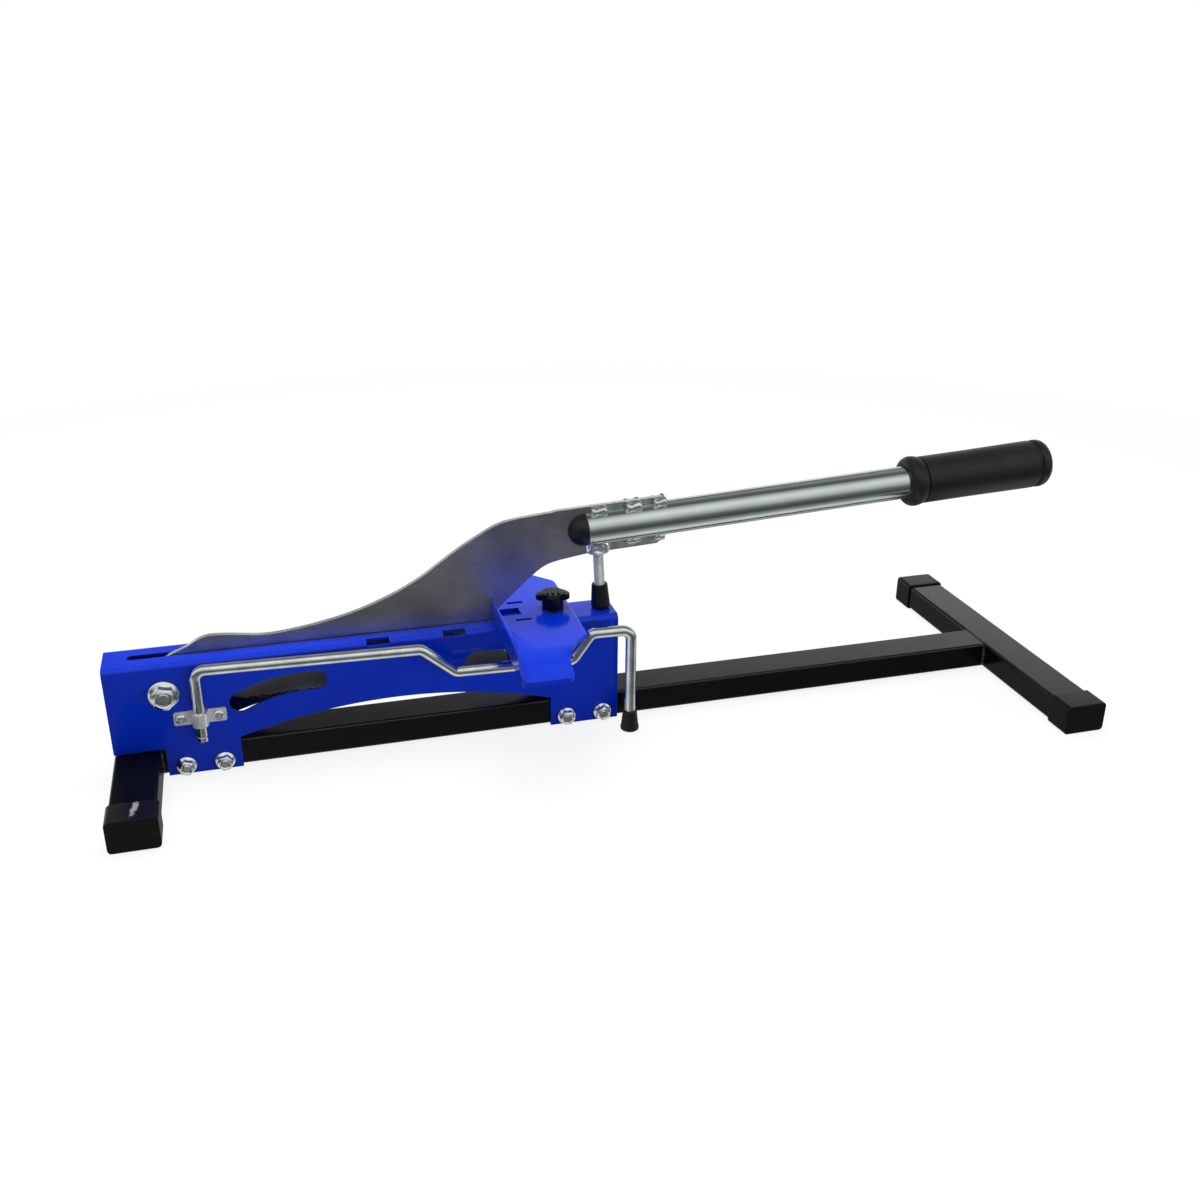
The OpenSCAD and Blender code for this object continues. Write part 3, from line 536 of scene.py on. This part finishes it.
def threadedRod(radius, pitch, length, plain=0.0, segments=40, perPitch=8):
    # a rod along Z whose threads start after the plain stretch
    bm = bmesh.new()
    depth = pitch * 0.5
    steps = round((length - plain) / pitch * perPitch)
    heights = [0.0] if plain else []
    heights += [plain + (length - plain) * i / steps for i in range(steps + 1)]
    rings = []
    for z in heights:
        ring = []
        for i in range(segments):
            turn = i / segments
            wave = abs(((z / pitch - turn) % 1.0) * 2 - 1)
            r = radius - depth * (1 - min(1.0, wave * 1.25))
            if plain and z <= plain:
                r = radius
            r = min(r, radius - endCut * pitch + length - z) if length - z < endCut * pitch else r
            angle = 2 * math.pi * turn
            ring.append(bm.verts.new((r * mm * math.cos(angle), r * mm * math.sin(angle), z * mm)))
        rings.append(ring)
    for a, b in zip(rings, rings[1:]):
        for i in range(segments):
            j = (i + 1) % segments
            bm.faces.new((a[i], a[j], b[j], b[i]))
    bm.faces.new(list(reversed(rings[0])))
    bm.faces.new(rings[-1])
    return bm


def towardsFront(place, turn=0.0):
    # local Z points to the front, along -Y
    return Matrix.Translation(place) @ Matrix.Rotation(math.pi / 2, 4, "X") @ Matrix.Rotation(turn, 4, "Z")


wallY = 17.04  # outer face of the body's walls
footBolt = dict(places=(30.7, 56.6, 303.6, 331.4), height=7.6, radius=2.97, pitch=1.0, length=39.7,
                plain=26.0, head=dict(across=10.0, height=4.0), turns=(0.2, 0.75, 0.45, 1.0))
footNut = dict(across=10.0, height=6.0, flange=6.75, flangeHeight=1.3, bore=3.05)
pivot = dict(place=(22.5, 64.0), radius=4.95, pitch=1.5, length=42.5, plain=24.0,
             head=dict(across=16.0, height=6.4), turn=0.3)
pivotNut = dict(across=15.0, height=9.0, flange=10.5, flangeHeight=1.9, bore=5.05)


def addFasteners():
    bolts, nuts = bmesh.new(), bmesh.new()
    for x, turn in zip(footBolt["places"], footBolt["turns"]):
        z = footBolt["height"]
        shank = threadedRod(footBolt["radius"], footBolt["pitch"], footBolt["length"], footBolt["plain"])
        joinInto(bolts, shank, towardsFront(at(x, wallY, z), turn))
        head = chamferedHex(footBolt["head"]["across"], footBolt["head"]["height"])
        softenEdges(head, 0.15 * mm, 0.4)
        joinInto(bolts, head, Matrix.Translation(at(x, wallY, z)) @ Matrix.Rotation(-math.pi / 2, 4, "X")
                 @ Matrix.Rotation(turn * 2, 4, "Z"))
        joinInto(nuts, flangeNut(footNut), towardsFront(at(x, -wallY, z), turn))
    addPiece("footBolts", bolts, "base", "zincPlate", ("foot_bolts",), 0.7)
    addPiece("footNuts", nuts, "base", "zincPlate", ("foot_nuts",), 0.7)
    bolt = bmesh.new()
    x, z = pivot["place"]
    shank = threadedRod(pivot["radius"], pivot["pitch"], pivot["length"], pivot["plain"], 48)
    joinInto(bolt, shank, towardsFront(at(x, wallY, z), pivot["turn"]))
    head = chamferedHex(pivot["head"]["across"], pivot["head"]["height"])
    softenEdges(head, 0.2 * mm, 0.4)
    joinInto(bolt, head, Matrix.Translation(at(x, wallY, z)) @ Matrix.Rotation(-math.pi / 2, 4, "X"))
    addPiece("pivotBolt", bolt, "base", "zincPlate", ("pivot_bolt",), 0.7)
    nut = bmesh.new()
    joinInto(nut, flangeNut(pivotNut), towardsFront(at(x, -wallY, z), pivot["turn"]))
    addPiece("pivotNut", nut, "base", "zincPlate", ("pivot_nut",), 0.7)


addFasteners()

# the handle's axis, rising towards the grip
handle = dict(start=(323.0, 148.9), rise=3.15)


def axisHeight(x):
    return handle["start"][1] + (x - handle["start"][0]) * math.tan(math.radians(handle["rise"]))


def alongHandle(distance):
    x, z = handle["start"]
    turn = Matrix.Rotation(math.radians(90 - handle["rise"]), 4, "Y")
    return Matrix.Translation(at(x, 0, z)) @ turn @ Matrix.Translation((0, 0, distance * mm))


grip = dict(start=254.0, length=121.1, radius=18.3, collar=13.0, bore=12.53, boreDepth=114.0)


def addGrip(s):
    r, l, c = s["radius"], s["length"], s["collar"]
    dome = 0.36 * r
    outline = [(0.75 * r, 0.0)]
    outline += [(0.75 * r + 0.30 * r * math.cos(a), 0.46 * c * (1 + math.sin(a)))
                for a in (math.radians(d) for d in range(-75, 1, 15))]
    outline += [(1.038 * r, 0.66 * c), (1.005 * r, 0.84 * c), (0.975 * r, 0.96 * c), (0.910 * r, 1.00 * c),
                (0.885 * r, 1.05 * c), (0.900 * r, 1.13 * c), (0.968 * r, 1.17 * c), (0.985 * r, 1.24 * c),
                (0.984 * r, 0.40 * l), (0.998 * r, 0.65 * l),
               (1.008 * r, 0.82 * l), (1.007 * r, l - 2.2 * dome), (1.000 * r, l - 1.95 * dome),
               (0.930 * r, l - 1.84 * dome), (0.905 * r, l - 1.68 * dome), (0.930 * r, l - 1.52 * dome),
               (1.000 * r, l - 1.40 * dome), (1.010 * r, l - 1.2 * dome), (1.010 * r, l - 0.95 * dome)]
    outline += [(1.01 * r - dome + dome * math.cos(a), l - dome + dome * math.sin(a))
                for a in (math.radians(d) for d in range(15, 90, 15))]
    outline = smoothRun(outline, 3) + [(1.01 * r - dome, l), (0.3 * r, l), (0.0, l)]
    bm = lathe([(0.0, s["boreDepth"]), (s["bore"], s["boreDepth"]), (s["bore"], 0.0)] + outline, 96)
    bm.transform(alongHandle(s["start"]))
    addPiece("grip", bm, "lever", "blackRubber", ("grip",), 0.7)


addGrip(grip)

stop = dict(place=331.2, low=-63.2, inFoot=5.0, radius=3.97, pitch=1.25, top=-13.2, seat=-12.95, nutTurn=0.2,
            nut=dict(across=13.0, height=6.0, flange=8.2, flangeHeight=1.5, bore=4.05))


def addStop(s):
    # the screw hangs square to the handle's axis
    hang = Matrix.Translation(at(s["place"], 0, axisHeight(s["place"])))
    hang = hang @ Matrix.Rotation(-math.radians(handle["rise"]), 4, "Y")
    start = s["low"] + s["inFoot"]
    stud = threadedRod(s["radius"], s["pitch"], s["top"] - start)
    stud.transform(hang @ Matrix.Translation((0, 0, start * mm)))
    addPiece("stopScrew", stud, "lever", "zincPlate", ("stop_screw",), 0.7)
    nut = flangeNut(s["nut"])
    below = Matrix.Translation((0, 0, (s["seat"] - s["nut"]["height"]) * mm))
    nut.transform(hang @ below @ Matrix.Rotation(s["nutTurn"], 4, "Z"))
    addPiece("stopNut", nut, "lever", "zincPlate", ("stop_nut",), 0.7)


addStop(stop)

supportRod = dict(hinge=(44.0, -21.62), swing=2.6, radius=4.0, bend=7.0, foot=27.4, high=81.3, low=61.5,
                  reach=304.0, dipStart=150.0, dipEnd=257.0, slopes=(40.0, 55.0), end=4.0,
                  chamfer=0.8, groove=dict(start=4.0, end=5.0, depth=0.5, edge=0.1))


def rodPath(s):
    drop, b = s["high"] - s["low"], s["bend"]

    def slopeLength(a):
        return (drop - 2 * b * (1 - math.cos(math.radians(a)))) / math.sin(math.radians(a))

    def slopeRun(a):
        return slopeLength(a) * math.cos(math.radians(a)) + 2 * b * math.sin(math.radians(a))

    down, rise = s["slopes"]
    course = [(s["high"] - b - s["foot"], -90), (s["dipStart"] - b, -down), (slopeLength(down), down),
              (s["dipEnd"] - s["dipStart"] - slopeRun(down), rise), (slopeLength(rise), -rise),
              (s["reach"] - b - s["dipEnd"] - slopeRun(rise), -90), (s["high"] - b - s["end"], 0)]
    g = s["groove"]
    cuts = [s["chamfer"], g["start"] - g["edge"], g["start"], g["end"], g["end"] + g["edge"]]
    x, z, heading = 0.0, s["foot"], 90.0
    path = [(x, z, heading)]
    for i, (length, turn) in enumerate(course):
        pieces = cuts if i == 0 else []
        for d in pieces + [length]:
            path.append((x + d * math.cos(math.radians(heading)), z + d * math.sin(math.radians(heading)), heading))
        x, z, heading = path[-1]
        steps = max(1, round(abs(turn) / 6))
        for k in range(steps if turn else 0):
            step = turn / steps
            chord = 2 * b * math.sin(math.radians(abs(step)) / 2)
            heading += step / 2
            x += chord * math.cos(math.radians(heading))
            z += chord * math.sin(math.radians(heading))
            heading += step / 2
            path.append((x, z, heading))
    return path


def addSupportRod(s, segments=40):
    bm = bmesh.new()
    rings = []
    for i, (x, z, heading) in enumerate(rodPath(s)):
        r = s["radius"]
        if i == 0:
            r -= s["chamfer"]
        elif i in (3, 4):  # the groove's floor
            r -= s["groove"]["depth"]
        normal = Vector((-math.sin(math.radians(heading)), 0, math.cos(math.radians(heading))))
        rings.append([bm.verts.new((Vector((x, 0, z)) + normal * r * math.cos(2 * math.pi * k / segments)
                                    + Vector((0, r * math.sin(2 * math.pi * k / segments), 0))) * mm)
                      for k in range(segments)])
    for a, b in zip(rings, rings[1:]):
        for k in range(segments):
            j = (k + 1) % segments
            bm.faces.new((a[k], b[k], b[j], a[j]))
    bm.faces.new(rings[0])
    bm.faces.new(list(reversed(rings[-1])))
    bmesh.ops.recalc_face_normals(bm, faces=bm.faces)
    x, y = s["hinge"]
    bm.transform(Matrix.Translation(at(x, y, 0)) @ Matrix.Rotation(math.radians(-s["swing"]), 4, "Z"))
    addPiece("supportRod", bm, "rod_arm", "rodPlate", ("support_rod",), 0.5)


addSupportRod(supportRod)


# weld beads: short rippled runs of metal along a seam
def weldBead(start, end, outward, s, seed):
    bm = bmesh.new()
    draw = random.Random(seed)
    ahead = (end - start).normalized()
    outward = (outward - ahead * outward.dot(ahead)).normalized()
    across = ahead.cross(outward)
    length = (end - start).length / mm
    stations = max(10, round(length * 2.4))
    ripples = max(1, round(length / s["pitch"]))
    lumps = [draw.uniform(-1, 1) for _ in range(ripples + 2)]
    rings = []
    for i in range(stations + 1):
        t = i / stations
        taper = max(0.08, 1 - abs(2 * t - 1) ** 5) ** 0.5
        phase = t * ripples
        k = min(ripples, int(phase))
        lump = lumps[k] * (1 - (phase - k)) + lumps[k + 1] * (phase - k)
        r = s["radius"] * taper * (1 + s["swell"] * math.cos(2 * math.pi * phase) + 0.16 * lump) * mm
        centre = start + (end - start) * t + across * lump * 0.12 * s["radius"] * mm
        rings.append([bm.verts.new(centre + outward * r * s["crown"] * math.cos(a) + across * r * math.sin(a))
                      for a in (2 * math.pi * q / 16 for q in range(16))])
    for a, b in zip(rings, rings[1:]):
        for q in range(16):
            j = (q + 1) % 16
            bm.faces.new((a[q], a[j], b[j], b[q]))
    bm.faces.new(list(reversed(rings[0])))
    bm.faces.new(rings[-1])
    bmesh.ops.recalc_face_normals(bm, faces=bm.faces)
    return bm


tailBeads = dict(
    top=dict(runs=((332.0, 13.0), (358.0, 13.0), (378.0, 11.0)), up=1, lift=13.1, side=3.2,
             look=dict(radius=4.2, crown=0.95, pitch=13.0, swell=0.24)),
    under=dict(runs=((358.0, 12.0), (378.0, 9.0)), up=-1, lift=12.8, side=3.0,
               look=dict(radius=3.4, crown=0.95, pitch=5.2, swell=0.10)))
baseBeads = dict(right=658.5, left=15.0, side=15.0, low=2.6, high=20.0, seamReach=14.0, seamHeight=21.4,
                 look=dict(radius=2.1, crown=0.9, pitch=3.2, swell=0.13),
                 seam=dict(radius=0.7, crown=0.6, pitch=2.8, swell=0.13))


def addWelds():
    beads = bmesh.new()
    seed = 3
    for s in tailBeads.values():
        for x, length in s["runs"]:
            for side in (-1, 1):
                a, b = (at(q, side * s["side"], axisHeight(q) + s["up"] * s["lift"])
                        for q in (x - length / 2, x + length / 2))
                joinInto(beads, weldBead(a, b, Vector((0, side * 0.6, s["up"])), s["look"], seed), Matrix())
                seed += 1
    addPiece("tailWelds", beads, "lever", "weldSteel", (), 1.2, False)
    seams = bmesh.new()
    s = baseBeads
    for x, way in ((s["right"], -1), (s["left"], 1)):
        for side in (-1, 1):
            low, high = (at(x, side * s["side"], z) for z in (s["low"], s["high"]))
            joinInto(seams, weldBead(low, high, Vector((way, side, 0)), s["look"], seed), Matrix())
            seed += 1
    front, back = (at(s["right"], way * s["seamReach"], s["seamHeight"]) for way in (-1, 1))
    joinInto(seams, weldBead(front, back, Vector((0, 0, 1)), s["seam"], seed), Matrix())
    addPiece("baseWelds", seams, "base", "blackPaint", (), 1.2, False)


addWelds()
print("fasteners, grip, stop, rod and welds made")


# camera, floor and light
camera = dict(place=(-0.24202, -0.82076, 0.46373), pitch=0.41110684, roll=0.0064608, yaw=0.27928688, lens=37.609)


def addCamera(s):
    lens = bpy.data.cameras.new("photoCamera")
    lens.sensor_width = 36.0
    lens.lens = s["lens"]
    lens.clip_start = 0.01
    lens.clip_end = 60.0
    eye = bpy.data.objects.new("photoCamera", lens)
    level = math.cos(s["pitch"])
    ahead = Vector((math.sin(s["yaw"]) * level, math.cos(s["yaw"]) * level, -math.sin(s["pitch"])))
    side = Vector((math.cos(s["yaw"]), -math.sin(s["yaw"]), 0.0))
    top = side.cross(ahead)
    right = side * math.cos(s["roll"]) + top * math.sin(s["roll"])
    up = top * math.cos(s["roll"]) - side * math.sin(s["roll"])
    turn = Matrix((right, up, -ahead)).transposed()
    eye.matrix_world = Matrix.Translation(s["place"]) @ turn.to_4x4()
    scene.collection.objects.link(eye)
    scene.camera = eye


floor = dict(size=24.0, below=0.0002, tone=(0.60, 0.60, 0.60), seen=(0.98, 0.98, 0.98),
             fadeStart=0.40, fadeEnd=1.30, lift=0.86)


def addFloor(s):
    bm = bmesh.new()
    bmesh.ops.create_grid(bm, x_segments=1, y_segments=1, size=s["size"] / 2)
    mesh = bpy.data.meshes.new("paleFloor")
    bm.to_mesh(mesh)
    bm.free()
    sheet = bpy.data.objects.new("paleFloor", mesh)
    sheet.location.z = -s["below"]
    sheet.visible_glossy = False  # the room stands for it in reflections
    scene.collection.objects.link(sheet)
    material = bpy.data.materials.new("paleFloor")
    material.use_nodes = True
    tree = material.node_tree
    shader = tree.nodes["Principled BSDF"]
    shader.inputs["Roughness"].default_value = 0.9
    shader.inputs["Specular IOR Level"].default_value = 0.1
    path = tree.nodes.new("ShaderNodeLightPath")
    seen = addMath(tree, "MAXIMUM", path.outputs["Is Camera Ray"], path.outputs["Is Transmission Ray"])
    tree.links.new(mixColor(tree, seen, s["tone"], s["seen"]), shader.inputs["Base Color"])
    white = tree.nodes.new("ShaderNodeEmission")
    white.inputs["Strength"].default_value = 1.0
    blend = tree.nodes.new("ShaderNodeMixShader")
    far = tree.nodes.new("ShaderNodeVectorMath")
    far.operation = "LENGTH"
    tree.links.new(tree.nodes.new("ShaderNodeTexCoord").outputs["Object"], far.inputs[0])
    fade = addRange(tree, far.outputs["Value"], s["fadeStart"], s["fadeEnd"])
    fade = addMath(tree, "MAXIMUM", fade, s["lift"])
    tree.links.new(addMath(tree, "MULTIPLY", fade, seen), blend.inputs["Fac"])
    tree.links.new(shader.outputs[0], blend.inputs[1])
    tree.links.new(white.outputs[0], blend.inputs[2])
    tree.links.new(blend.outputs[0], tree.nodes["Material Output"].inputs["Surface"])
    mesh.materials.append(material)


# what polished metal sees: angles in degrees from the white wall behind, up over the object and round under it,
# turned by slant degrees for a ray that runs along X past level
world = dict(fill=0.18, slant=20.0, level=0.35, room=(
    (0, 0.95), (24, 0.90),  # white wall behind
    (32, 0.18), (38, 0.12),  # dark gap above the wall
    (57, 0.32), (80, 0.12), (94, 0.10),  # ceiling
    (116, 0.62), (127, 0.86), (141, 0.84), (165, 0.50),  # soft box above the front
    (182, 0.16), (206, 0.06),  # dark room in front
    (229, 0.28), (249, 0.74), (258, 0.74),  # pale floor before the object
    (282, 0.38), (321, 0.38), (338, 0.18)))  # floor below and its far edge


def addWorld(s):
    backdrop = bpy.data.worlds.new("whiteBackdrop")
    scene.world = backdrop
    backdrop.use_nodes = True
    backdrop.cycles.sampling_method = "NONE"
    tree = backdrop.node_tree
    soft = tree.nodes["Background"]
    path = tree.nodes.new("ShaderNodeLightPath")
    direction = tree.nodes.new("ShaderNodeSeparateXYZ")
    tree.links.new(tree.nodes.new("ShaderNodeTexCoord").outputs["Generated"], direction.inputs[0])
    angle = addMath(tree, "ARCTAN2", direction.outputs["Z"], direction.outputs["Y"])
    lean = addMath(tree, "MULTIPLY", addMath(tree, "SUBTRACT", s["level"], direction.outputs["X"]), s["slant"] / 360)
    lean = addMath(tree, "ADD", lean, 1.0)
    turn = addMath(tree, "FRACT", addMath(tree, "ADD", addMath(tree, "DIVIDE", angle, 2 * math.pi), lean))
    ramp = tree.nodes.new("ShaderNodeValToRGB")
    tree.links.new(turn, ramp.inputs["Fac"])
    stops = ramp.color_ramp.elements
    while len(stops) < len(s["room"]):
        stops.new(0.5)
    for stop, (degrees, tone) in zip(stops, s["room"]):
        stop.position = degrees / 360
        stop.color = (tone, tone, tone, 1.0)
    level = mixColor(tree, path.outputs["Is Glossy Ray"], (s["fill"],) * 3, ramp.outputs["Color"])
    seen = addMath(tree, "MAXIMUM", path.outputs["Is Camera Ray"], path.outputs["Is Transmission Ray"])
    tree.links.new(mixColor(tree, seen, level, (1.0, 1.0, 1.0)), soft.inputs["Color"])
    soft.inputs["Strength"].default_value = 1.0


lamps = {
    "overheadBox": dict(place=(-0.10, 0.26, 1.70), aim=(-0.05, 0.0, 0.05), size=(1.9, 1.4), power=41.0),
    "frontBox": dict(place=(0.60, -1.00, 0.24), aim=(-0.02, 0.0, 0.06), size=(1.0, 0.4), power=4.0),
}


def addLamp(name, s):
    lamp = bpy.data.lights.new(name, "AREA")
    lamp.shape = "RECTANGLE"
    lamp.size, lamp.size_y = s["size"]
    lamp.energy = s["power"]
    box = bpy.data.objects.new(name, lamp)
    box.location = s["place"]
    box.visible_glossy = False
    box.rotation_euler = (Vector(s["aim"]) - Vector(s["place"])).to_track_quat("-Z", "Y").to_euler()
    scene.collection.objects.link(box)


addCamera(camera)
addFloor(floor)
addWorld(world)
for name, s in lamps.items():
    addLamp(name, s)
scene.view_settings.view_transform = "Standard"
print("camera, floor and light set")
